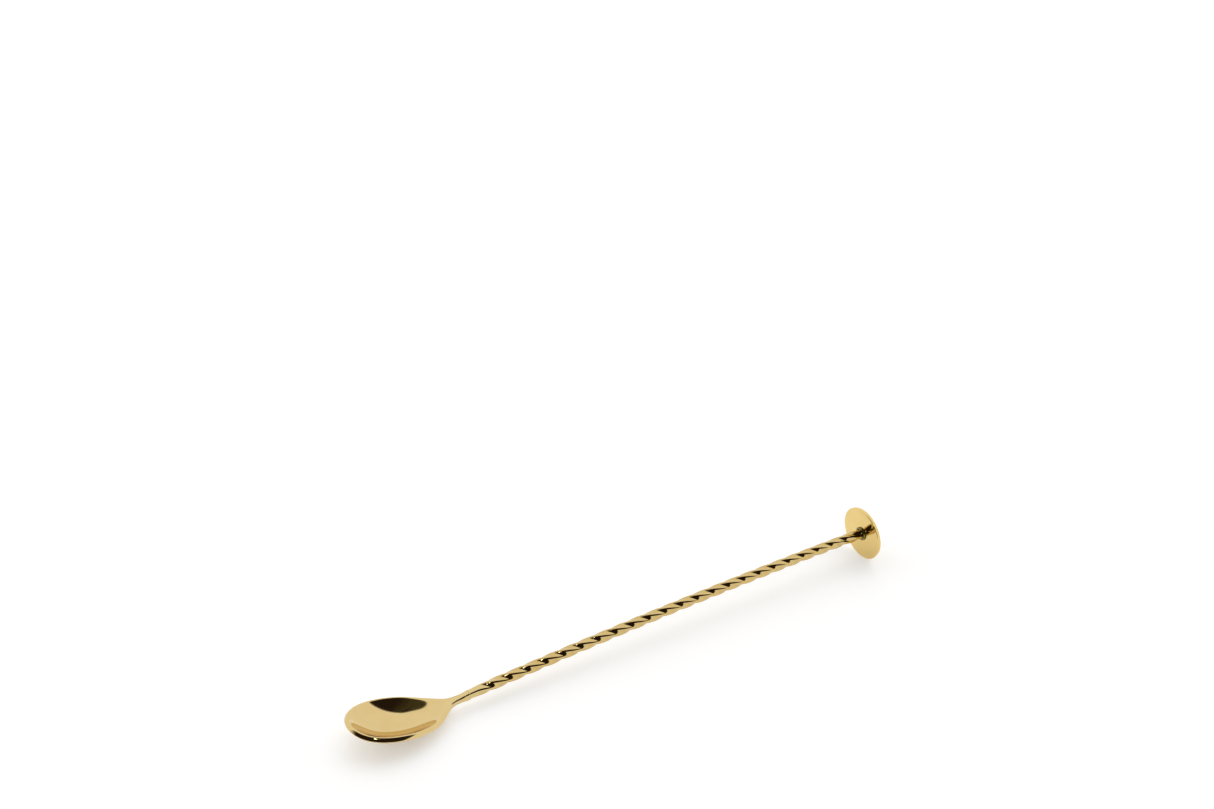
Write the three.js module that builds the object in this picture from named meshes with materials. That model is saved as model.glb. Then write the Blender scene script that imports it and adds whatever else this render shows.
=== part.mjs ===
// Bar spoon with a cold-twisted square shaft and a muddling disc.
// Millimetres, +Z up. The spoon lies as it does on a table: the bowl's underside and the
// disc's edge touch z = 0, +X runs from the bowl's tip to the disc, and y = 0 is the mirror
// plane of the bowl. The origin is on the table under the middle of the whole length.
import * as THREE from 'three';

// ---- driving dimensions -------------------------------------------------------------------
const TOTAL_LENGTH = 280;            // bowl tip to the disc's outer face
const TIP_X = -140.25;               // places the origin under the middle of the length

// bowl and neck: u is the distance from the bowl's tip along +X
const BOWL_EGG_LENGTH = 47.5;        // length of the egg that the bowl's rim follows
const EGG_SHAPE = [15.1, 2.3, 0.4, 1.3];       // half-width factors, see eggHalfWidth
const SHOULDER_PHI = 2.57;           // egg angle where the rim leaves the egg for the neck
const LIP_WIDTH = 1.7;               // from the rim's outer edge to the edge of the hollow
const HOLLOW_DEPTH = 7;              // below the rim line
const HOLLOW_CENTRE_U = 22;
const HOLLOW_END_GAP = 1.1;          // the hollow's egg ends this far before the outer one
const HOLLOW_FADE = 0.53;            // the hollow runs out softly over HOLLOW_FADE_U
const HOLLOW_FADE_U = [18, 59];
const HOLLOW_TIP_FADE = 0.2;         // and a little towards the tip, over HOLLOW_TIP_FADE_U
const HOLLOW_TIP_FADE_U = [-2, 24];
const RIM_TIP_HEIGHT = 14.85;        // height of the rim line above the table at the tip
const RIM_SLOPE = -0.227;            // the rim line falls towards the neck
const RIM_THICKNESS = 1.9;           // upright height of the rim's edge around the tip
const SHOULDER_THICKNESS = 1.45;     // the same where the rim runs into the neck
const RIM_THINS_U = [26, 40];        // from the first to the second thickness
const RIM_BEVEL = [                  // bevelled edge: inwards and down, for a unit length
  [0.64, 0], [0.55, 0.03], [0.03, 0.64], [0, 0.73]];
const NECK_BEVEL = 0.85;             // length of the same bevel along the neck
const BEVEL_FADE_U = [40, 52];       // from the rim's bevel to the neck's
const LOWER_ROUND = 0.2;             // round-over from the edge to the underside
const EDGE_UPRIGHT = 0.05;           // upright strip between the bevel and the round-over
const FLOOR_THICKNESS = 2.145;       // metal under the deepest place
const UNDERSIDE_FADE = 0.8;          // the belly runs out softly over UNDERSIDE_FADE_U
const UNDERSIDE_FADE_U = [25, 47];
const RIM_TO_NECK_U = [28, 52];      // the rim line turns into the neck's top
const THICKNESS_TO_NECK_U = [43, 53];
const SHOULDER_REACH = 4.1;          // how far the shoulder curve keeps the egg's direction
const WAIST_REACH = 3.9;             // and how far it runs straight before the waist
const NECK_WAIST_U = 53;
const NECK_WAIST_HALF_WIDTH = 1.7;
const NECK_WAIST_THICKNESS = 2.5;
const NECK_END_SIDE = 3.5;           // square side at the weld
const NECK_END_U = 58;               // butt weld to the shaft

// shaft: square bar, straight at the neck, then twisted right-handed up to the disc
const BAR_SIDE = 4.4;
const BAR_FULL_X = -72;              // the bar has its full side from here on
const BAR_CORNER = 1.15;
const AXIS_START_X = -86;            // the axis height is AXIS_START_HEIGHT here
const AXIS_START_HEIGHT = 5.95;
const SHAFT_BOW = 1.9;               // slight upward set in the middle of the bar
const TWIST_FROM_X = -79.7;
const TWIST_RUN_IN = 6;              // length over which the twist reaches its full rate
const QUARTER_TURN = 8.96;           // length of a quarter turn at TWIST_PHASE_X
const TWIST_TIGHTENING = 0.00178;    // the turns get slightly shorter towards the disc
const TWIST_PHASE_X = 38;
const TWIST_PHASE = THREE.MathUtils.degToRad(47);

// disc, its collar, and the round spigot on the bar's end that holds both
const DISC_RADIUS = 13.6;
const DISC_THICKNESS = 2.05;
const DISC_FACE_ROUND = 0.3;         // round-over towards the shaft side
const DISC_BACK_ROUND = 0.6;         // and towards the free face
const DISC_SIDE_SLOPE = 12;          // degrees; the disc narrows towards its free face
const DISC_TILT = THREE.MathUtils.degToRad(2.2);
const COLLAR_RADIUS = 3.5;
const COLLAR_THICKNESS = 0.8;
const COLLAR_ROUND = 0.45;
const SPIGOT_RADIUS = 1.5;
const SOCKET_DEPTH = 1.2;            // blind socket in the disc's shaft side
const JOINT_GAP = 0.15;              // brazing gap between the pieces

const DISC_FACE_X = TIP_X + TOTAL_LENGTH - DISC_THICKNESS;
const DISC_CENTRE_HEIGHT = (DISC_RADIUS - DISC_FACE_ROUND) * Math.cos(DISC_TILT)
  + DISC_FACE_ROUND * (1 - Math.sin(DISC_TILT));

const GOLD = { color: 0xd9b867, roughness: 0.08, metalness: 1 };

// ---- helpers ------------------------------------------------------------------------------
const { lerp, smoothstep, smootherstep } = THREE.MathUtils;

/** A closed skin over rings of equal length, with a centre point closing each end. */
function skinRings(startPoint, rings, endPoint) {
  const count = rings[0].length;
  const positions = [startPoint, ...rings.flat(), endPoint].flat();
  const last = 1 + rings.length * count;
  const at = (ring, index) => 1 + ring * count + (index % count);
  const faces = [];
  for (let i = 0; i < count; i += 1) {
    faces.push(0, at(0, i), at(0, i + 1));
    for (let ring = 0; ring + 1 < rings.length; ring += 1) {
      faces.push(at(ring, i), at(ring + 1, i), at(ring + 1, i + 1));
      faces.push(at(ring, i), at(ring + 1, i + 1), at(ring, i + 1));
    }
    faces.push(last, at(rings.length - 1, i + 1), at(rings.length - 1, i));
  }
  const geometry = new THREE.BufferGeometry();
  geometry.setAttribute('position', new THREE.Float32BufferAttribute(positions, 3));
  geometry.setIndex(faces);
  geometry.computeVertexNormals();
  return geometry;
}

function goldPiece(name, geometry) {
  const mesh = new THREE.Mesh(geometry, new THREE.MeshStandardMaterial(GOLD));
  mesh.name = name;
  return mesh;
}

// ---- shaft axis and twist -----------------------------------------------------------------
function axisHeight(x) {
  const s = (x - AXIS_START_X) / (DISC_FACE_X - AXIS_START_X);
  return lerp(AXIS_START_HEIGHT, DISC_CENTRE_HEIGHT, s) + 4 * SHAFT_BOW * s * (1 - s);
}

/** Turn of the square section about +X; right-handed, so it grows with x. */
function twistAngle(x) {
  const fullRate = (place) => {
    const turns = (place - TWIST_PHASE_X) / QUARTER_TURN;
    return TWIST_PHASE + (turns + TWIST_TIGHTENING * turns * turns) * Math.PI / 2;
  };
  const runInEnd = TWIST_FROM_X + TWIST_RUN_IN;
  if (x >= runInEnd) return fullRate(x);
  const straight = Math.round(fullRate(TWIST_FROM_X + TWIST_RUN_IN / 2) * 2 / Math.PI) * Math.PI / 2;
  const t = Math.max(0, (x - TWIST_FROM_X) / TWIST_RUN_IN);
  return straight + t * t * (fullRate(runInEnd) - straight);
}

// ---- bowl and neck ------------------------------------------------------------------------
/** Half-width of the egg at angle phi: 0 is the tip, PI the neck end. */
function eggHalfWidth(phi, scale) {
  const c = Math.cos(phi);
  const factor = EGG_SHAPE.reduce((sum, value, power) => sum + value * c ** power, 0);
  return Math.sin(phi) * factor * scale;
}

const LIP_SCALE = 1 - LIP_WIDTH / EGG_SHAPE[0];
const HOLLOW_LENGTH = BOWL_EGG_LENGTH - LIP_WIDTH - HOLLOW_END_GAP;

const outerEgg = (phi) => [BOWL_EGG_LENGTH * (1 - Math.cos(phi)) / 2, eggHalfWidth(phi, 1)];
const hollowEgg = (phi) => [
  LIP_WIDTH + HOLLOW_LENGTH * (1 - Math.cos(phi)) / 2, eggHalfWidth(phi, LIP_SCALE)];

/** How far a place is inside an egg: 1 on the middle of its widest place, 0 on its edge. */
function insideEgg(u, y, start, length, scale) {
  const c = Math.min(1, Math.max(-1, 1 - 2 * (u - start) / length));
  const halfWidth = eggHalfWidth(Math.acos(c), scale);
  return Math.max(0, halfWidth * halfWidth - y * y) / (EGG_SHAPE[0] * scale) ** 2;
}

const neckHalfThickness = (u) => lerp(NECK_WAIST_THICKNESS, NECK_END_SIDE,
  smoothstep(u, NECK_WAIST_U, NECK_END_U)) / 2;

function rimLine(u) {
  const neckTop = axisHeight(TIP_X + u) + neckHalfThickness(u);
  return lerp(RIM_TIP_HEIGHT + RIM_SLOPE * u, neckTop, smootherstep(u, ...RIM_TO_NECK_U));
}

function topHeight(u, y) {
  const inside = insideEgg(u, y, LIP_WIDTH, HOLLOW_LENGTH, LIP_SCALE);
  const fade = 1 + HOLLOW_FADE * smootherstep(u, ...HOLLOW_FADE_U)
    + HOLLOW_TIP_FADE * (1 - smootherstep(u, ...HOLLOW_TIP_FADE_U));
  return rimLine(u) - HOLLOW_DEPTH * inside ** fade;
}

function rimThickness(u) {
  const rim = lerp(RIM_THICKNESS, SHOULDER_THICKNESS, smoothstep(u, ...RIM_THINS_U));
  return lerp(rim, 2 * neckHalfThickness(u), smoothstep(u, ...THICKNESS_TO_NECK_U));
}

function bottomHeight(u, y) {
  const inside = insideEgg(u, y, 0, BOWL_EGG_LENGTH, 1);
  const fade = 1 + UNDERSIDE_FADE * smoothstep(u, ...UNDERSIDE_FADE_U);
  return rimLine(u) - rimThickness(u)
    - (HOLLOW_DEPTH + FLOOR_THICKNESS - RIM_THICKNESS) * inside ** fade;
}

/** Length of the bevel's section: on the rim it takes the edge down to the round-over. */
function bevelLength(u) {
  const unitDrop = RIM_BEVEL.at(-1)[1];
  const onRim = (rimThickness(u) - LOWER_ROUND - EDGE_UPRIGHT) / unitDrop;
  return lerp(onRim, NECK_BEVEL, smoothstep(u, ...BEVEL_FADE_U));
}

const HOLLOW_RINGS = 9;
const LIP_RINGS = 4;
const EGG_STEPS = 20;
const SHOULDER_STEPS = 6;
const NECK_STEPS = 3;
const END_STEPS = 3;
const SMALL_ANGLE = 0.01;            // step for the egg's direction at the shoulder

/** Half of the outer outline from the tip to the middle of the neck's end. */
function outerHalf() {
  const points = [];
  for (let i = 0; i <= EGG_STEPS; i += 1) points.push(outerEgg(SHOULDER_PHI * i / EGG_STEPS));
  const [u, y] = points[EGG_STEPS];
  const [nextU, nextY] = outerEgg(SHOULDER_PHI + SMALL_ANGLE);
  const along = new THREE.Vector2(nextU - u, nextY - y).setLength(SHOULDER_REACH);
  const shoulder = new THREE.CubicBezierCurve(
    new THREE.Vector2(u, y), new THREE.Vector2(u, y).add(along),
    new THREE.Vector2(NECK_WAIST_U - WAIST_REACH, NECK_WAIST_HALF_WIDTH),
    new THREE.Vector2(NECK_WAIST_U, NECK_WAIST_HALF_WIDTH));
  for (let i = 1; i <= SHOULDER_STEPS; i += 1) points.push(shoulder.getPoint(i / SHOULDER_STEPS).toArray());
  for (let i = 1; i <= NECK_STEPS; i += 1) {
    const place = lerp(NECK_WAIST_U, NECK_END_U, i / NECK_STEPS);
    const grow = smoothstep(place, NECK_WAIST_U, NECK_END_U);
    points.push([place, lerp(NECK_WAIST_HALF_WIDTH, NECK_END_SIDE / 2, grow)]);
  }
  for (let i = 1; i <= END_STEPS; i += 1) points.push([NECK_END_U, (1 - i / END_STEPS) * NECK_END_SIDE / 2]);
  return points;
}

/** Half of the hollow's outline, with the same number of points as the outer one. */
function hollowHalf() {
  const after = SHOULDER_STEPS + NECK_STEPS + END_STEPS;
  const points = [];
  for (let i = 0; i <= EGG_STEPS; i += 1) points.push(hollowEgg(SHOULDER_PHI * i / EGG_STEPS));
  for (let i = 1; i <= after; i += 1) points.push(hollowEgg(lerp(SHOULDER_PHI, Math.PI, i / after)));
  return points;
}

/** A whole ring from a half outline: tip, -Y side, neck, +Y side. */
function mirrored(half) {
  const near = half.map(([u, y]) => [u, -y]);
  const far = half.slice(1, -1).reverse();
  return [...near, ...far];
}

/** The outline drawn in by distanceAt(u); the neck's flat end keeps its place along u. */
function drawnIn(outline, distanceAt) {
  return outline.map(([u, y], i) => {
    const [beforeU, beforeY] = outline[(i + outline.length - 1) % outline.length];
    const [afterU, afterY] = outline[(i + 1) % outline.length];
    const length = Math.hypot(afterU - beforeU, afterY - beforeY);
    const distance = distanceAt(u);
    if (u > NECK_WAIST_U) return [u, y * (1 - distance / (NECK_END_SIDE / 2))];
    return [u - distance * (afterY - beforeY) / length, y + distance * (afterU - beforeU) / length];
  });
}

function bowlGeometry() {
  const outer = mirrored(outerHalf());
  const hollow = mirrored(hollowHalf());
  const between = (from, to, t) => from.map(([u, y], i) => [lerp(u, to[i][0], t), lerp(y, to[i][1], t)]);
  const shrunk = (t) => hollow.map(([u, y]) => [lerp(HOLLOW_CENTRE_U, u, t), y * t]);
  const place = (outline, height) => outline.map(([u, y]) => [TIP_X + u, y, height(u, y)]);
  const bevelled = (inwards) => drawnIn(outer, (u) => bevelLength(u) * inwards);
  const slightly = LOWER_ROUND * (1 - Math.SQRT1_2);

  const rings = [];
  for (let i = 1; i <= HOLLOW_RINGS; i += 1) rings.push(place(shrunk(i / HOLLOW_RINGS), topHeight));
  const lip = bevelled(RIM_BEVEL[0][0]);
  for (let i = 1; i <= LIP_RINGS; i += 1) rings.push(place(between(hollow, lip, i / LIP_RINGS), topHeight));
  for (const [inwards, down] of RIM_BEVEL.slice(1)) {
    const outline = bevelled(inwards);
    rings.push(outline.map(([u, y], i) => [TIP_X + u, y, rimLine(u) - down * bevelLength(outer[i][0])]));
  }
  rings.push(place(outer, (u, y) => bottomHeight(u, y) + LOWER_ROUND));
  rings.push(place(drawnIn(outer, () => slightly), (u, y) => bottomHeight(u, y) + slightly));
  const inset = drawnIn(outer, () => LOWER_ROUND);
  for (let i = LIP_RINGS; i >= 1; i -= 1) {
    rings.push(place(between(hollow, inset, i / LIP_RINGS), bottomHeight));
  }
  for (let i = HOLLOW_RINGS; i >= 1; i -= 1) rings.push(place(shrunk(i / HOLLOW_RINGS), bottomHeight));
  const pole = (height) => [TIP_X + HOLLOW_CENTRE_U, 0, height(HOLLOW_CENTRE_U, 0)];
  return skinRings(pole(topHeight), rings, pole(bottomHeight));
}

// ---- shaft --------------------------------------------------------------------------------
const SHAFT_RINGS = 92;
const CORNER_POINTS = 3;

/** Size of the bar's section against its full size; the neck end is drawn down. */
const barScale = (x) => lerp(NECK_END_SIDE / BAR_SIDE, 1, smoothstep(x, TIP_X + NECK_END_U, BAR_FULL_X));

/** Rounded square section, CORNER_POINTS to a corner, as [radius, angle] pairs. */
function squareSection() {
  const points = [];
  const centre = BAR_SIDE / 2 - BAR_CORNER;
  for (let corner = 0; corner < 4; corner += 1) {
    for (let step = 0; step < CORNER_POINTS; step += 1) {
      const turn = step / (CORNER_POINTS - 1) * Math.PI / 2;
      const y = centre + BAR_CORNER * Math.cos(turn);
      const z = centre + BAR_CORNER * Math.sin(turn);
      points.push([Math.hypot(y, z), Math.atan2(z, y) + corner * Math.PI / 2]);
    }
  }
  return points.reverse();
}

/** A point given on the disc's tilted axis, measured from the centre of its shaft side. */
function onDiscAxis(along, y, up) {
  const cos = Math.cos(DISC_TILT);
  const sin = Math.sin(DISC_TILT);
  return [DISC_FACE_X + along * cos - up * sin, y, DISC_CENTRE_HEIGHT + along * sin + up * cos];
}

function shaftGeometry() {
  const section = squareSection();
  const startX = TIP_X + NECK_END_U + JOINT_GAP;
  const shoulder = -COLLAR_THICKNESS - JOINT_GAP;
  const rings = [];
  for (let i = 0; i < SHAFT_RINGS; i += 1) {
    const x = lerp(startX, DISC_FACE_X + shoulder, i / SHAFT_RINGS);
    rings.push(section.map(([r, a]) => {
      const turn = a + twistAngle(x);
      const size = r * barScale(x);
      return [x, size * Math.cos(turn), axisHeight(x) + size * Math.sin(turn)];
    }));
  }
  const endTurn = twistAngle(DISC_FACE_X + shoulder);
  const round = (along, radius) => section.map(([r, a]) => {
    const size = radius ?? r;
    return onDiscAxis(along, size * Math.cos(a + endTurn), size * Math.sin(a + endTurn));
  });
  const spigotEnd = SOCKET_DEPTH - JOINT_GAP;
  rings.push(round(shoulder), round(shoulder, SPIGOT_RADIUS), round(spigotEnd, SPIGOT_RADIUS));
  return skinRings([startX, 0, axisHeight(startX)], rings, onDiscAxis(spigotEnd, 0, 0));
}

// ---- disc and collar ----------------------------------------------------------------------
const DISC_SEGMENTS = 64;
const DISC_ROUND_STEPS = 4;
const COLLAR_SEGMENTS = 48;
const COLLAR_ROUND_STEPS = 3;

/** Arc of profile points around a centre, in the lathe's (radius, height) plane. */
function arc(centreR, centreH, radius, fromDegrees, toDegrees, steps) {
  const points = [];
  for (let i = 0; i <= steps; i += 1) {
    const a = THREE.MathUtils.degToRad(lerp(fromDegrees, toDegrees, i / steps));
    points.push(new THREE.Vector2(centreR + radius * Math.cos(a), centreH + radius * Math.sin(a)));
  }
  return points;
}

/** Plain disc with a sloping, rounded side and a blind socket in its shaft side (height 0). */
function discGeometry() {
  const slope = THREE.MathUtils.degToRad(DISC_SIDE_SLOPE);
  const faceEdge = DISC_RADIUS - DISC_FACE_ROUND;
  const side = DISC_THICKNESS - DISC_FACE_ROUND - DISC_BACK_ROUND;
  const backEdge = faceEdge
    + (DISC_FACE_ROUND - DISC_BACK_ROUND - side * Math.sin(slope)) / Math.cos(slope);
  const socketRadius = SPIGOT_RADIUS + JOINT_GAP;
  return new THREE.LatheGeometry([
    new THREE.Vector2(0, SOCKET_DEPTH),
    new THREE.Vector2(socketRadius, SOCKET_DEPTH),
    new THREE.Vector2(socketRadius, 0),
    ...arc(faceEdge, DISC_FACE_ROUND, DISC_FACE_ROUND, -90, DISC_SIDE_SLOPE, DISC_ROUND_STEPS),
    ...arc(backEdge, DISC_THICKNESS - DISC_BACK_ROUND, DISC_BACK_ROUND,
      DISC_SIDE_SLOPE, 90, DISC_ROUND_STEPS),
    new THREE.Vector2(0, DISC_THICKNESS),
  ], DISC_SEGMENTS);
}

/** Half-round ring that backs the disc where the bar's shoulder bears on it. */
function collarGeometry() {
  const inner = SPIGOT_RADIUS + JOINT_GAP;
  const outer = COLLAR_RADIUS - COLLAR_ROUND;
  return new THREE.LatheGeometry([
    new THREE.Vector2(inner, -JOINT_GAP),
    new THREE.Vector2(inner, -COLLAR_THICKNESS),
    ...arc(outer, COLLAR_ROUND - COLLAR_THICKNESS, COLLAR_ROUND, -90, 0, COLLAR_ROUND_STEPS),
    new THREE.Vector2(COLLAR_RADIUS, -JOINT_GAP),
    new THREE.Vector2(inner, -JOINT_GAP),
  ], COLLAR_SEGMENTS);
}

// ---- assembly -----------------------------------------------------------------------------
const spoon = new THREE.Group();
spoon.add(goldPiece('spoon_bowl', bowlGeometry()));
spoon.add(goldPiece('twisted_shaft', shaftGeometry()));

const discEnd = new THREE.Group();
discEnd.position.set(DISC_FACE_X, 0, DISC_CENTRE_HEIGHT);
discEnd.rotation.y = -DISC_TILT;
for (const [name, geometry] of [
  ['disc_collar', collarGeometry()],
  ['muddler_disc', discGeometry()],
]) {
  const piece = goldPiece(name, geometry);
  piece.rotation.z = -Math.PI / 2;   // the lathe's axis lies along +X
  discEnd.add(piece);
}
spoon.add(discEnd);

export default spoon;
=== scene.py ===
"""Looks of a gold-coated bar spoon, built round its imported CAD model.

Every piece follows the same driving dimensions as the CAD part, with the facets gone: an
egg-shaped bowl with its neck, a bar twisted from square stock, and a disc with its collar.
Lengths in the constants are millimetres unless they say metres; the scene is in metres.
"""

import math

import bpy
import numpy as np
from mathutils import Matrix, Vector


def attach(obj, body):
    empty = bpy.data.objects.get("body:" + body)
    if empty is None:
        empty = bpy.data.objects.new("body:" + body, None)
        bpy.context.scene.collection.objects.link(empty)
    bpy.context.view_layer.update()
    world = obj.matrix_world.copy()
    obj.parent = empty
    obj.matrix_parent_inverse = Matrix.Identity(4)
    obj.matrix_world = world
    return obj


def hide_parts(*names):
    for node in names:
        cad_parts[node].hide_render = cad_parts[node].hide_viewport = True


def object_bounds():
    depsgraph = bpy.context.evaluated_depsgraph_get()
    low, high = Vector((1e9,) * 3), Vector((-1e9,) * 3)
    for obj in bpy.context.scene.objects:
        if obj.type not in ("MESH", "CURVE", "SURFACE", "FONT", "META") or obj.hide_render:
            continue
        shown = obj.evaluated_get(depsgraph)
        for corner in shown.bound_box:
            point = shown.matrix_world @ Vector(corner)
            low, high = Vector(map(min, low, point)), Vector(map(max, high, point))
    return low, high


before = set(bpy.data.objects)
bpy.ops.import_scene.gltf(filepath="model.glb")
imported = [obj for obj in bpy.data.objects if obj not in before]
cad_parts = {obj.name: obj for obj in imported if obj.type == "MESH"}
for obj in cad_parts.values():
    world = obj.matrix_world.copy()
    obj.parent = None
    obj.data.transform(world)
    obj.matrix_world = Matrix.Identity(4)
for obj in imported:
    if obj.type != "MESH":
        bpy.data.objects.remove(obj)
cad_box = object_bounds()

MM = 0.001

# ---- driving dimensions, in millimetres ----------------------------------------------------
TOTAL_LENGTH = 280.0

# Bowl and neck. u is the distance from the bowl's tip along +X.
EGG_LENGTH = 47.5
EGG_SHAPE = (15.1, 2.3, 0.4, 1.3)        # half-width factors over powers of cos(phi)
SHOULDER_PHI = 2.57                      # where the rim leaves the egg for the neck
LIP_WIDTH = 1.7                          # from the outer edge to the edge of the hollow
HOLLOW_DEPTH = 7.0                       # below the rim line
HOLLOW_CENTRE_U = 22.0
HOLLOW_END_GAP = 1.1                     # the hollow's egg ends this far before the outer one
HOLLOW_FADE = 0.53                       # the hollow runs out softly over HOLLOW_FADE_U
HOLLOW_FADE_U = (18.0, 59.0)
HOLLOW_TIP_FADE = 0.2                    # and a little towards the tip
HOLLOW_TIP_FADE_U = (-2.0, 24.0)
RIM_TIP_HEIGHT = 14.85                   # height of the rim line above the table at the tip
RIM_SLOPE = -0.227                       # the rim line falls towards the neck
RIM_THICKNESS = 1.9                      # upright height of the rim's edge around the tip
SHOULDER_THICKNESS = 1.45                # the same where the rim runs into the neck
RIM_THINS_U = (26.0, 40.0)
LOWER_ROUND = 0.2                        # round-over where the rim's edge meets the underside
EDGE_UPRIGHT = 0.05                      # upright strip between the bevel and that round-over
NECK_BEVEL = 0.85                        # length of the bevel's section along the neck
BEVEL_FADE_U = (40.0, 52.0)              # the rim's bevel turns into the neck's
FLOOR_THICKNESS = 2.145                  # metal under the deepest place
UNDERSIDE_FADE = 0.8                     # the belly runs out softly over UNDERSIDE_FADE_U
UNDERSIDE_FADE_U = (25.0, 47.0)
RIM_TO_NECK_U = (28.0, 52.0)             # the rim line turns into the neck's top
THICKNESS_TO_NECK_U = (43.0, 53.0)
SHOULDER_REACH = 4.1                     # length of the shoulder curve's handle at the egg
WAIST_REACH = 3.9                        # and of its handle at the waist
NECK_WAIST_U = 53.0
NECK_WAIST_HALF_WIDTH = 1.7
NECK_WAIST_THICKNESS = 2.5
NECK_END_SIDE = 3.5                      # square side at the weld
NECK_END_U = 58.0

# Twisted bar.
BAR_SIDE = 4.4
BAR_FULL_X = -72.0                       # the bar has its full side from here on
BAR_CORNER = 1.15
FACE_HOLLOW = math.radians(8)            # slope of the slightly hollow sides at their edges
AXIS_START_X = -86.0                     # the axis height is AXIS_START_HEIGHT here
AXIS_START_HEIGHT = 5.95
SHAFT_BOW = 1.9                          # slight upward set in the middle of the bar
TWIST_FROM_X = -79.7
TWIST_RUN_IN = 6.0                       # length over which the twist reaches its full rate
QUARTER_TURN = 8.96                      # length of a quarter turn at TWIST_PHASE_X
TWIST_TIGHTENING = 0.00178               # the turns get slightly shorter towards the disc
TWIST_PHASE_X = 38.0
TWIST_PHASE = math.radians(47)

# Disc end.
DISC_RADIUS = 13.6
DISC_THICKNESS = 2.05
DISC_FACE_ROUND = 0.3                    # round-over towards the shaft side
DISC_BACK_ROUND = 0.6                    # and towards the free face
DISC_SIDE_SLOPE = 12.0                   # degrees; the disc narrows towards its free face
DISC_TILT = math.radians(2.2)
COLLAR_RADIUS = 3.5
COLLAR_THICKNESS = 0.8
COLLAR_ROUND = 0.45
SPIGOT_RADIUS = 1.5
SOCKET_DEPTH = 1.2
JOINT_GAP = 0.15                         # brazing gap between the pieces
NECK_GAP = 0.002                         # keeps the shaft's end just clear of the neck's

TIP_X = cad_box[0].x / MM
DISC_FACE_X = TIP_X + TOTAL_LENGTH - DISC_THICKNESS
DISC_CENTRE_HEIGHT = ((DISC_RADIUS - DISC_FACE_ROUND) * math.cos(DISC_TILT)
                      + DISC_FACE_ROUND * (1 - math.sin(DISC_TILT)))


# ---- small helpers -------------------------------------------------------------------------
def lerp(a, b, t):
    return a + (b - a) * t


def smoothstep(value, span):
    t = np.clip((value - span[0]) / (span[1] - span[0]), 0, 1)
    return t * t * (3 - 2 * t)


def smootherstep(value, span):
    """Like smoothstep, with no sudden change of curvature at its ends."""
    t = np.clip((value - span[0]) / (span[1] - span[0]), 0, 1)
    return t ** 3 * (t * (6 * t - 15) + 10)


def linked(name, data):
    """A new object with this data, in the scene."""
    item = bpy.data.objects.new(name, data)
    bpy.context.scene.collection.objects.link(item)
    return item


def smooth_piece(name, points, faces):
    """A smooth object from points in millimetres and faces."""
    mesh = bpy.data.meshes.new(name)
    mesh.from_pydata((points * MM).tolist(), [], faces)
    mesh.validate()
    mesh.shade_smooth()
    return linked(name, mesh)


def band(a, b, count):
    """Faces between two rings of count points that start at the indices a and b."""
    return [(a + i, b + i, b + (i + 1) % count, a + (i + 1) % count) for i in range(count)]


def skin(name, start, rings, end):
    """A closed smooth mesh over rings of equal length, with a centre point at each end."""
    count = len(rings[0])
    points = np.concatenate([[start], np.concatenate(rings), [end]])
    last = len(points) - 1
    last_ring = last - count
    faces = [(0, 1 + i, 1 + (i + 1) % count) for i in range(count)]
    for ring in range(1, last_ring, count):
        faces += band(ring, ring + count, count)
    faces += [(last, last_ring + (i + 1) % count, last_ring + i) for i in range(count)]
    return smooth_piece(name, points, faces)


# ---- shaft axis and twist ------------------------------------------------------------------
def axis_height(x):
    s = (x - AXIS_START_X) / (DISC_FACE_X - AXIS_START_X)
    return lerp(AXIS_START_HEIGHT, DISC_CENTRE_HEIGHT, s) + 4 * SHAFT_BOW * s * (1 - s)


def full_twist(x):
    turns = (x - TWIST_PHASE_X) / QUARTER_TURN
    return TWIST_PHASE + (turns + TWIST_TIGHTENING * turns * turns) * math.pi / 2


def twist_angle(x):
    """Turn of the square section about +X: right-handed, from +Y towards +Z."""
    run_in_end = TWIST_FROM_X + TWIST_RUN_IN
    quarter = math.pi / 2
    straight = round(full_twist(TWIST_FROM_X + TWIST_RUN_IN / 2) / quarter) * quarter
    t = np.maximum(0, (x - TWIST_FROM_X) / TWIST_RUN_IN)
    return np.where(x >= run_in_end, full_twist(x),
                    straight + t * t * (full_twist(run_in_end) - straight))


# ---- bowl and neck -------------------------------------------------------------------------
def egg_half_width(phi, scale):
    c = np.cos(phi)
    return np.sin(phi) * sum(v * c ** power for power, v in enumerate(EGG_SHAPE)) * scale


LIP_SCALE = 1 - LIP_WIDTH / EGG_SHAPE[0]
HOLLOW_LENGTH = EGG_LENGTH - LIP_WIDTH - HOLLOW_END_GAP


def egg(phi, start, length, scale):
    return np.stack([start + length * (1 - np.cos(phi)) / 2, egg_half_width(phi, scale)], -1)


def inside_egg(u, y, start, length, scale):
    """1 on the middle of the egg's widest place, 0 on its edge."""
    c = np.clip(1 - 2 * (u - start) / length, -1, 1)
    half_width = egg_half_width(np.arccos(c), scale)
    return np.maximum(0, half_width ** 2 - y ** 2) / (EGG_SHAPE[0] * scale) ** 2


def neck_half_thickness(u):
    return lerp(NECK_WAIST_THICKNESS, NECK_END_SIDE, smoothstep(u, (NECK_WAIST_U, NECK_END_U))) / 2


def rim_line(u):
    neck_top = axis_height(TIP_X + u) + neck_half_thickness(u)
    return lerp(RIM_TIP_HEIGHT + RIM_SLOPE * u, neck_top, smootherstep(u, RIM_TO_NECK_U))


def top_height(u, y):
    inside = inside_egg(u, y, LIP_WIDTH, HOLLOW_LENGTH, LIP_SCALE)
    fade = (1 + HOLLOW_FADE * smootherstep(u, HOLLOW_FADE_U)
            + HOLLOW_TIP_FADE * (1 - smootherstep(u, HOLLOW_TIP_FADE_U)))
    return rim_line(u) - HOLLOW_DEPTH * inside ** fade


def rim_thickness(u):
    rim = lerp(RIM_THICKNESS, SHOULDER_THICKNESS, smoothstep(u, RIM_THINS_U))
    return lerp(rim, 2 * neck_half_thickness(u), smoothstep(u, THICKNESS_TO_NECK_U))


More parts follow.
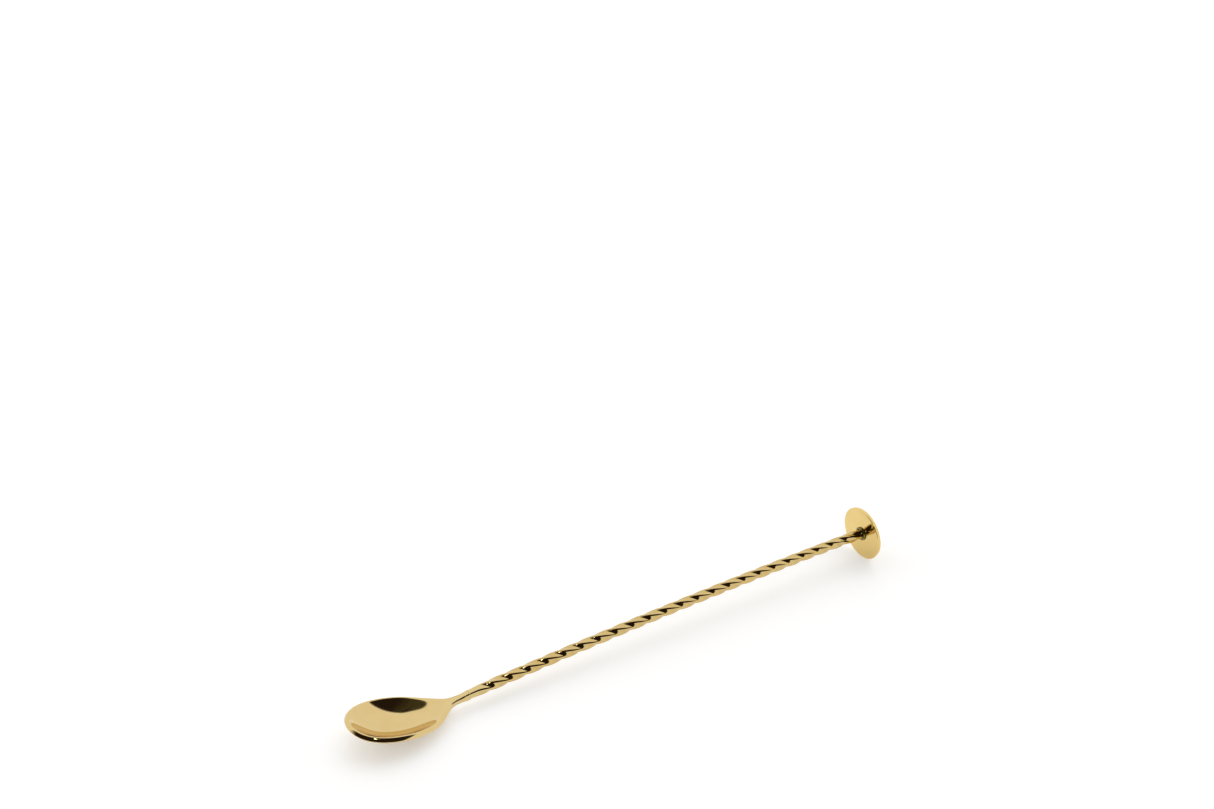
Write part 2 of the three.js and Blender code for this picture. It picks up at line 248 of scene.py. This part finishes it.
def bottom_height(u, y):
    inside = inside_egg(u, y, 0, EGG_LENGTH, 1)
    fade = 1 + UNDERSIDE_FADE * smoothstep(u, UNDERSIDE_FADE_U)
    belly = HOLLOW_DEPTH + FLOOR_THICKNESS - RIM_THICKNESS
    return rim_line(u) - rim_thickness(u) - belly * inside ** fade


EGG_STEPS = 110
SHOULDER_STEPS = 36
NECK_STEPS = 18
END_STEPS = 8
SMALL_ANGLE = 0.001                      # step for the egg's direction at the shoulder
HOLLOW_RINGS = 64
LIP_RINGS = 8
EDGE_RINGS = 24
ROUND_RINGS = 6
PROFILE_STEPS = 192
PROFILE_PLACES = (0, 0.1, 0.9, 1)        # along the edge's section
PROFILE_TILTS = (90, 52, 30, 0)          # its slant there, in degrees from upright


def outer_half():
    """Half of the bowl's outer outline, from the tip to the middle of the neck's end."""
    points = list(egg(np.linspace(0, SHOULDER_PHI, EGG_STEPS + 1), 0, EGG_LENGTH, 1))
    start = points[-1]
    ahead = egg(np.array(SHOULDER_PHI + SMALL_ANGLE), 0, EGG_LENGTH, 1) - start
    waist = np.array([NECK_WAIST_U, NECK_WAIST_HALF_WIDTH])
    handles = (start, start + ahead / np.hypot(*ahead) * SHOULDER_REACH,
               waist - [WAIST_REACH, 0], waist)
    for t in np.linspace(0, 1, SHOULDER_STEPS + 1)[1:]:
        points.append(sum(math.comb(3, k) * (1 - t) ** (3 - k) * t ** k * p
                          for k, p in enumerate(handles)))
    for t in np.linspace(0, 1, NECK_STEPS + 1)[1:]:
        u = lerp(NECK_WAIST_U, NECK_END_U, t)
        grow = smoothstep(u, (NECK_WAIST_U, NECK_END_U))
        points.append(np.array([u, lerp(NECK_WAIST_HALF_WIDTH, NECK_END_SIDE / 2, grow)]))
    for t in np.linspace(1, 0, END_STEPS + 1)[1:]:
        points.append(np.array([NECK_END_U, t * NECK_END_SIDE / 2]))
    return np.array(points)


def hollow_half():
    """Half of the hollow's outline, with as many points as the outer one."""
    rest = SHOULDER_STEPS + NECK_STEPS + END_STEPS
    phi = np.concatenate([np.linspace(0, SHOULDER_PHI, EGG_STEPS + 1),
                          np.linspace(SHOULDER_PHI, math.pi, rest + 1)[1:]])
    return egg(phi, LIP_WIDTH, HOLLOW_LENGTH, LIP_SCALE)


def mirrored(half):
    """A whole ring from a half outline: tip, -Y side, neck, +Y side."""
    near = half * [1, -1]
    return np.concatenate([near, half[1:-1][::-1]])


def drawn_in(outline, distance):
    """The outline moved inwards; the neck's flat end keeps its place along u."""
    ahead = np.roll(outline, -1, 0) - np.roll(outline, 1, 0)
    ahead /= np.hypot(ahead[:, 0], ahead[:, 1])[:, None]
    moved = outline + distance * np.stack([-ahead[:, 1], ahead[:, 0]], -1)
    neck = outline[:, 0] > NECK_WAIST_U
    moved[neck, 0] = outline[neck, 0]
    moved[neck, 1] = outline[neck, 1] * (1 - distance / (NECK_END_SIDE / 2))
    return moved


def edge_profile():
    """The rim's outer edge in section, from the lip to the underside's round-over.

    Returns how far inwards and how far down each place is, for an edge one unit long: a quick
    turn out of the lip, a long slope that hardly curves, and a quick turn into the upright."""
    t = np.linspace(0, 1, PROFILE_STEPS + 1)
    tilt = np.radians(np.interp(t, PROFILE_PLACES, PROFILE_TILTS))
    middle = (tilt[1:] + tilt[:-1]) / 2
    out = np.concatenate([[0], np.cumsum(np.sin(middle))]) / PROFILE_STEPS
    down = np.concatenate([[0], np.cumsum(np.cos(middle))]) / PROFILE_STEPS
    keep = slice(None, None, PROFILE_STEPS // EDGE_RINGS)
    return out[-1] - out[keep], down[keep]


def build_bowl():
    outer = mirrored(outer_half())
    hollow = mirrored(hollow_half())
    one_in = drawn_in(outer, 1.0) - outer
    inwards, down = edge_profile()
    rim_bevel = (rim_thickness(outer[:, 0]) - LOWER_ROUND - EDGE_UPRIGHT) / down[-1]
    length = lerp(rim_bevel, NECK_BEVEL, smoothstep(outer[:, 0], BEVEL_FADE_U))

    def place(outline, height):
        return np.stack([TIP_X + outline[:, 0], outline[:, 1], height], -1)

    def on_top(outline):
        return place(outline, top_height(outline[:, 0], outline[:, 1]))

    def underneath(outline):
        return place(outline, bottom_height(outline[:, 0], outline[:, 1]))

    def shrunk(t):
        return np.stack([lerp(HOLLOW_CENTRE_U, hollow[:, 0], t), hollow[:, 1] * t], -1)

    parts = np.linspace(0, 1, HOLLOW_RINGS + 1)[1:]
    rings = [on_top(shrunk(t)) for t in parts]
    lip = outer + one_in * (length * inwards[0])[:, None]
    rings += [on_top(lerp(hollow, lip, t)) for t in np.linspace(0, 1, LIP_RINGS + 1)[1:]]
    for step_in, step_down in zip(inwards[1:], down[1:]):
        outline = outer + one_in * (length * step_in)[:, None]
        rings.append(place(outline, rim_line(outline[:, 0]) - length * step_down))
    foot = bottom_height(outer[:, 0], outer[:, 1])
    for turn in np.linspace(0, math.pi / 2, ROUND_RINGS + 1):
        outline = outer + one_in * LOWER_ROUND * (1 - math.cos(turn))
        rings.append(place(outline, foot + LOWER_ROUND * (1 - math.sin(turn))))
    inset = outer + one_in * LOWER_ROUND
    rings += [underneath(lerp(hollow, inset, t)) for t in np.linspace(1, 0, LIP_RINGS + 1)[1:-1]]
    rings += [underneath(shrunk(t)) for t in parts[::-1]]
    pole = (HOLLOW_CENTRE_U, 0.0)
    start = [TIP_X + HOLLOW_CENTRE_U, 0, float(top_height(*pole))]
    end = [TIP_X + HOLLOW_CENTRE_U, 0, float(bottom_height(*pole))]
    return skin("bowl", start, rings, end)


# ---- shaft ---------------------------------------------------------------------------------
SHAFT_RINGS = 1400
FACE_STEPS = 14
CORNER_STEPS = 12


def square_section():
    """Rounded square with slightly hollow sides, as (radius, angle) pairs, clockwise seen from
    the disc. Each corner's arc runs on past a right angle to meet the hollow sides."""
    centre = BAR_SIDE / 2 - BAR_CORNER
    half_face = centre - BAR_CORNER * math.sin(FACE_HOLLOW)
    face_edge = centre + BAR_CORNER * math.cos(FACE_HOLLOW)
    points = []
    for t in np.linspace(0, 1, CORNER_STEPS + 1):
        turn = lerp(-FACE_HOLLOW, math.pi / 2 + FACE_HOLLOW, t)
        points.append((centre + BAR_CORNER * math.cos(turn), centre + BAR_CORNER * math.sin(turn)))
    for t in np.linspace(1, -1, FACE_STEPS + 1)[1:-1]:
        hollow = half_face * math.tan(FACE_HOLLOW) / 2 * (1 - t * t)
        points.append((t * half_face, face_edge - hollow))
    polar = [(math.hypot(y, z), math.atan2(z, y) + corner * math.pi / 2)
             for corner in range(4) for y, z in points]
    return np.array(polar[::-1])


def bar_scale(x):
    return lerp(NECK_END_SIDE / BAR_SIDE, 1, smoothstep(x, (TIP_X + NECK_END_U, BAR_FULL_X)))


def on_disc_axis(along, y, up):
    """A point given on the disc's tilted axis, from the centre of its shaft side."""
    cos, sin = math.cos(DISC_TILT), math.sin(DISC_TILT)
    return np.stack([DISC_FACE_X + along * cos - up * sin, y + 0 * up,
                     DISC_CENTRE_HEIGHT + along * sin + up * cos], -1)


def build_shaft():
    section = square_section()
    radius, angle = section[:, 0], section[:, 1]
    start_x = TIP_X + NECK_END_U + NECK_GAP
    shoulder = -COLLAR_THICKNESS - JOINT_GAP
    rings = []
    for x in np.linspace(start_x, DISC_FACE_X + shoulder, SHAFT_RINGS + 1)[:-1]:
        turn = angle + twist_angle(x)
        size = radius * bar_scale(x)
        rings.append(np.stack([x + 0 * turn, size * np.cos(turn),
                               axis_height(x) + size * np.sin(turn)], -1))
    end_turn = angle + twist_angle(DISC_FACE_X + shoulder)
    spigot_end = SOCKET_DEPTH - JOINT_GAP
    for along, size in ((shoulder, radius), (shoulder, SPIGOT_RADIUS), (spigot_end, SPIGOT_RADIUS)):
        rings.append(on_disc_axis(along, size * np.cos(end_turn), size * np.sin(end_turn)))
    start = [start_x, 0, float(axis_height(start_x))]
    end = on_disc_axis(spigot_end, 0, np.array(0.0))
    return skin("shaft", start, rings, end)


# ---- disc and collar -----------------------------------------------------------------------
LATHE_SEGMENTS = 256
ROUND_STEPS = 12
FACE_RINGS = 24
BACK_RINGS = 16


def arc(centre_r, centre_h, radius, from_degrees, to_degrees, steps):
    angles = np.radians(np.linspace(from_degrees, to_degrees, steps + 1))
    return [(centre_r + radius * math.cos(a), centre_h + radius * math.sin(a)) for a in angles]


def lathe(name, profile, closed):
    """Turns a (radius, along) profile about the disc's axis. An open one gets a centre point at
    each end."""
    turn = np.linspace(0, 2 * math.pi, LATHE_SEGMENTS, endpoint=False)
    rings = [on_disc_axis(along, r * np.cos(turn), r * np.sin(turn)) for r, along in profile]
    if not closed:
        start = on_disc_axis(profile[0][1], 0, np.array(0.0))
        end = on_disc_axis(profile[-1][1], 0, np.array(0.0))
        return skin(name, start, rings, end)
    faces = []
    for ring in range(len(rings)):
        after = (ring + 1) % len(rings)
        faces += band(ring * LATHE_SEGMENTS, after * LATHE_SEGMENTS, LATHE_SEGMENTS)
    return smooth_piece(name, np.concatenate(rings), faces)


def build_disc():
    rim = DISC_RADIUS - DISC_FACE_ROUND
    slope = math.radians(DISC_SIDE_SLOPE)
    side = DISC_THICKNESS - DISC_FACE_ROUND - DISC_BACK_ROUND
    back = rim + (DISC_FACE_ROUND - DISC_BACK_ROUND - side * math.sin(slope)) / math.cos(slope)
    socket = SPIGOT_RADIUS + JOINT_GAP
    profile = [(socket / 2, SOCKET_DEPTH), (socket, SOCKET_DEPTH), (socket, 0.0)]
    profile += [(lerp(socket, rim, t), 0.0) for t in np.linspace(0, 1, FACE_RINGS + 1)[1:-1]]
    profile += arc(rim, DISC_FACE_ROUND, DISC_FACE_ROUND, -90, DISC_SIDE_SLOPE, ROUND_STEPS)
    profile += arc(back, DISC_THICKNESS - DISC_BACK_ROUND, DISC_BACK_ROUND,
                   DISC_SIDE_SLOPE, 90, ROUND_STEPS)
    profile += [(back * t, DISC_THICKNESS) for t in np.linspace(1, 0, BACK_RINGS + 1)[1:-1]]
    return lathe("disc", profile, closed=False)


def build_collar():
    inner = SPIGOT_RADIUS + JOINT_GAP
    profile = [(inner, -JOINT_GAP), (inner, -COLLAR_THICKNESS)]
    profile += arc(COLLAR_RADIUS - COLLAR_ROUND, COLLAR_ROUND - COLLAR_THICKNESS, COLLAR_ROUND,
                   -90, 0, ROUND_STEPS)
    profile += [(COLLAR_RADIUS, -JOINT_GAP)]
    return lathe("collar", profile, closed=True)


# ---- materials -----------------------------------------------------------------------------
class Tree:
    """Makes and links shader nodes. An input is given as a value or as another node's output."""

    def __init__(self, node_tree):
        self.nodes, self.links = node_tree.nodes, node_tree.links

    def node(self, kind, inputs, **settings):
        node = self.nodes.new("ShaderNode" + kind)
        for name, value in settings.items():
            setattr(node, name, value)
        for name, value in inputs.items():
            self.feed(node.inputs[name], value)
        return node

    def feed(self, socket, value):
        if isinstance(value, bpy.types.NodeSocket):
            self.links.new(value, socket)
        else:
            socket.default_value = value

    def coordinates(self, kind):
        return self.node("TexCoord", {}).outputs[kind]

    def noise(self, vector, kind):
        inputs = {"Vector": vector, "Scale": kind[0], "Detail": kind[1]}
        return self.node("TexNoise", inputs).outputs["Fac"]

    def stretched(self, vector, scale):
        return self.node("Mapping", {"Vector": vector, "Scale": scale}).outputs["Vector"]

    def math(self, operation, a, b):
        return self.node("Math", {0: a, 1: b}, operation=operation).outputs[0]

    def vector_math(self, operation, a, b, output):
        return self.node("VectorMath", {0: a, 1: b}, operation=operation).outputs[output]

    def ramp(self, value, span, out=(0.0, 1.0), kind="LINEAR"):
        inputs = {"Value": value, "From Min": span[0], "From Max": span[1],
                  "To Min": out[0], "To Max": out[1]}
        return self.node("MapRange", inputs, interpolation_type=kind).outputs[0]

    def mixed(self, factor, a, b):
        """Colour a where the factor is 0 and b where it is 1."""
        first, second = ((*c, 1) if isinstance(c, tuple) else c for c in (a, b))
        inputs = {"Factor": factor, 6: first, 7: second}
        return self.node("Mix", inputs, data_type="RGBA").outputs[2]

    def bump(self, height, kind, below=None):
        inputs = {"Height": height, "Strength": kind[0], "Distance": kind[1]}
        if below is not None:
            inputs["Normal"] = below
        return self.node("Bump", inputs).outputs["Normal"]


# Each gold has two tones, which cloud into each other.
GOLD = ((0.74, 0.575, 0.275), (0.715, 0.53, 0.235))
# The bar's gold is a darker copy of the bowl's gold: painted shade for the bar's darker
# reflections.
SHAFT_PAINTED_SHADE_GOLD = ((0.66, 0.49, 0.205), (0.635, 0.455, 0.178))
SHAFT_PAINTED_SHADE_FROM = (-0.082, -0.066)       # metres along X; the bowl's gold turns into it here
# The disc's gold is a brighter, more saturated copy of the gold: painted light for its bright
# reflection of the floor.
DISC_PAINTED_LIGHT_GOLD = ((0.80, 0.605, 0.24), (0.77, 0.565, 0.21))
# The collar between the bar and the disc is coloured a dark olive all over.
COLLAR_DARK_OLIVE = ((0.27, 0.22, 0.07), (0.20, 0.17, 0.05))

# A noise is its scale, in cells per metre, and its detail. A bump is its strength and its
# depth in metres.
CLOUD_NOISE = (60.0, 4.0)
CLOUD_SPAN = (0.35, 0.65)
LINE_NOISE = (1.0, 3.0)                  # its scale along each axis is the piece's own
LINE_BUMP = (0.10, 0.00002)
LINE_ROUGHNESS = 0.025
SCRATCH_SCALE = (110.0, 260.0, 260.0)    # long cells, whose edges are the hairline scratches
SCRATCH_WARP_NOISE = (35.0, 2.0)
SCRATCH_WIDTH = 0.012                    # part of a cell
SCRATCH_BUMP = (0.25, 0.00001)
SCRATCH_ROUGHNESS = 0.12
WORN_NOISE = (45.0, 2.0)
WORN_SPAN = (0.52, 0.62)                 # the scratches fade in over this range of the noise
SHEEN_NOISE = (25.0, 3.0)
SHEEN_SPAN = (0.3, 0.7)
POLISH_ROUGHNESS = (0.035, 0.085)
PIT_NOISE = (420.0, 2.0)
PIT_BUMP = (0.06, 0.00003)


def gold_material(name, line_scale, colours):
    """Polished gold coating: cloudy colour and sheen, fine polishing lines, hairline scratches
    and faint pits. line_scale gives the scale of the polishing lines along each axis."""
    material = bpy.data.materials.new(name)
    material.use_nodes = True
    tree = Tree(material.node_tree)
    shader = material.node_tree.nodes["Principled BSDF"]
    shader.inputs["Metallic"].default_value = 1.0
    place = tree.coordinates("Object")

    cloud = tree.ramp(tree.noise(place, CLOUD_NOISE), CLOUD_SPAN)
    tone = tree.mixed(cloud, *colours)
    # Along X the bowl's gold darkens into the bar's darker gold: painted shade.
    if colours is SHAFT_PAINTED_SHADE_GOLD:
        along = tree.node("SeparateXYZ", {0: place}).outputs["X"]
        tone = tree.mixed(tree.ramp(along, SHAFT_PAINTED_SHADE_FROM), tree.mixed(cloud, *GOLD), tone)
    tree.feed(shader.inputs["Base Color"], tone)

    lines = tree.noise(tree.stretched(place, line_scale), LINE_NOISE)
    cells = tree.vector_math("ADD", tree.stretched(place, SCRATCH_SCALE),
                             tree.noise(place, SCRATCH_WARP_NOISE), "Vector")
    edge = tree.node("TexVoronoi", {"Vector": cells, "Scale": 1.0}, feature="DISTANCE_TO_EDGE")
    hairline = tree.ramp(edge.outputs["Distance"], (0.0, SCRATCH_WIDTH), (1.0, 0.0))
    worn = tree.ramp(tree.noise(place, WORN_NOISE), WORN_SPAN)
    hairline = tree.math("MULTIPLY", hairline, worn)

    sheen = tree.ramp(tree.noise(place, SHEEN_NOISE), SHEEN_SPAN, POLISH_ROUGHNESS)
    sheen = tree.math("ADD", sheen, tree.math("MULTIPLY", lines, LINE_ROUGHNESS))
    sheen = tree.math("ADD", sheen, tree.math("MULTIPLY", hairline, SCRATCH_ROUGHNESS))
    tree.feed(shader.inputs["Roughness"], sheen)

    normal = tree.bump(lines, LINE_BUMP)
    groove = tree.math("MULTIPLY", hairline, -1.0)
    normal = tree.bump(groove, SCRATCH_BUMP, normal)
    normal = tree.bump(tree.noise(place, PIT_NOISE), PIT_BUMP, normal)
    tree.feed(shader.inputs["Normal"], normal)
    return material


# ---- pieces --------------------------------------------------------------------------------
# Each piece has its CAD node, its slot, its two tones, and the scale of its polishing lines:
# along the bowl and the bar, across the disc's face.
PIECES = ((build_bowl, "spoon_bowl", "gold_bowl", GOLD, (90.0, 1500.0, 1500.0)),
          (build_shaft, "twisted_shaft", "gold_shaft", SHAFT_PAINTED_SHADE_GOLD, (120.0, 1800.0, 1800.0)),
          (build_collar, "disc_collar", "gold_collar", COLLAR_DARK_OLIVE, (1200.0, 300.0, 1200.0)),
          (build_disc, "muddler_disc", "gold_disc", DISC_PAINTED_LIGHT_GOLD, (600.0, 140.0, 2000.0)))

for build, node, slot_name, colours, line_scale in PIECES:
    piece = build()
    piece.data.materials.append(gold_material(slot_name, line_scale, colours))
    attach(piece, "root")
    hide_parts(node)


# ---- floor, light, camera ------------------------------------------------------------------
FLOOR_HALF_SIDE = 4.0                    # metres
FLOOR_TONES = ((0.71, 0.71, 0.71), (0.73, 0.73, 0.73))
FLOOR_GRAIN_NOISE = (900.0, 3.0)
FLOOR_ROUGHNESS = 0.9
FLOOR_GLOW = 0.36                        # keeps the shadows faint, as on a light table


def build_floor():
    mesh = bpy.data.meshes.new("floor")
    corners = [(x * FLOOR_HALF_SIDE, y * FLOOR_HALF_SIDE, 0)
               for x, y in ((-1, -1), (1, -1), (1, 1), (-1, 1))]
    mesh.from_pydata(corners, [], [(0, 1, 2, 3)])
    material = bpy.data.materials.new("floor")
    material.use_nodes = True
    tree = Tree(material.node_tree)
    shader = material.node_tree.nodes["Principled BSDF"]
    grain = tree.noise(tree.coordinates("Object"), FLOOR_GRAIN_NOISE)
    tree.feed(shader.inputs["Base Color"], tree.mixed(grain, *FLOOR_TONES))
    shader.inputs["Roughness"].default_value = FLOOR_ROUGHNESS
    shader.inputs["Emission Color"].default_value = (1, 1, 1, 1)
    shader.inputs["Emission Strength"].default_value = FLOOR_GLOW
    mesh.materials.append(material)
    floor = linked("floor", mesh)


# The studio is an even white tent, open and dark on the camera's side. Each edge of the
# opening is its inward normal, the offset at which the opening starts, and its softness.
OPENING_EDGES = (((-0.524, -0.852, 0.0), 0.0, 0.02),       # upright edge on the disc's side
                 ((0.155, -0.952, 0.266), -0.35, 0.30),    # leaning, soft edge on the tip's side
                 ((-0.654, -0.105, 0.750), -0.03, 0.025))  # sloping lower edge
TENT = (1.0, 1.0, 1.0)
OPENING_DARK = (0.020, 0.013, 0.010)
OPENING_OLIVE = (0.056, 0.052, 0.026)
OLIVE_FROM_HEIGHT = (0.80, 0.96)         # the opening turns olive in places near its top
OLIVE_PATCH_NOISE = (5.0, 2.0)
OLIVE_PATCH_SPAN = (0.3, 0.6)
LAMP_DIRECTION = (-0.078, -0.554, 0.829)
LAMP_SIZE = (0.9985, 0.9995)             # cosines of the lamp's outer and inner edge
LAMP = (12.0, 11.7, 11.2)


def build_world():
    world = bpy.data.worlds.new("studio")
    bpy.context.scene.world = world
    world.use_nodes = True
    world.node_tree.nodes.clear()
    tree = Tree(world.node_tree)
    direction = tree.coordinates("Generated")

    def along(normal):
        return tree.vector_math("DOT_PRODUCT", direction, normal, "Value")

    def soft(value, span):
        return tree.ramp(value, span, kind="SMOOTHSTEP")

    # The opening is there for reflections and light; seen directly, the tent is closed.
    opening = tree.math("SUBTRACT", 1.0, tree.node("LightPath", {}).outputs["Is Camera Ray"])
    for normal, offset, softness in OPENING_EDGES:
        inside = soft(along(normal), (offset - softness, offset + softness))
        opening = tree.math("MULTIPLY", opening, inside)
    patches = soft(tree.noise(direction, OLIVE_PATCH_NOISE), OLIVE_PATCH_SPAN)
    olive = tree.math("MULTIPLY", soft(along((0, 0, 1)), OLIVE_FROM_HEIGHT), patches)
    lit = tree.mixed(opening, TENT, tree.mixed(olive, OPENING_DARK, OPENING_OLIVE))
    lit = tree.mixed(soft(along(LAMP_DIRECTION), LAMP_SIZE), lit, LAMP)
    background = tree.node("Background", {"Color": lit, "Strength": 1.0})
    tree.node("OutputWorld", {"Surface": background.outputs["Background"]})


OVERHEAD_STRENGTH = 1.2
OVERHEAD_SPREAD = math.radians(120)
OVERHEAD_TURN = (math.radians(-8), math.radians(-16), 0)


def build_overhead_light():
    """A broad overhead light that brightens the table and leaves the reflections alone."""
    data = bpy.data.lights.new("overhead", "SUN")
    data.energy = OVERHEAD_STRENGTH
    data.angle = OVERHEAD_SPREAD
    light = linked("overhead", data)
    light.visible_glossy = False
    light.rotation_euler = OVERHEAD_TURN


# The camera stands to the left of the bowl and looks along and down at the whole spoon.
CAMERA_PLACE = Vector((-324.46, -533.67, 510.19)) * MM
CAMERA_FORWARD = Vector((0.434591, 0.736861, -0.517848))
CAMERA_UP = Vector((0.26721259, 0.44389258, 0.85531094))
LENS = 50.41
SENSOR_WIDTH = 36
CLIP_START = 0.01


def build_camera():
    data = bpy.data.cameras.new("camera")
    data.lens = LENS
    data.sensor_width = SENSOR_WIDTH
    data.clip_start = CLIP_START
    back = -CAMERA_FORWARD.normalized()
    right = CAMERA_UP.cross(back).normalized()
    turn = Matrix((right, back.cross(right), back)).transposed().to_4x4()
    camera = linked("camera", data)
    camera.matrix_world = Matrix.Translation(CAMERA_PLACE) @ turn
    bpy.context.scene.camera = camera


build_floor()
build_world()
build_overhead_light()
build_camera()
bpy.context.scene.view_settings.view_transform = "Standard"
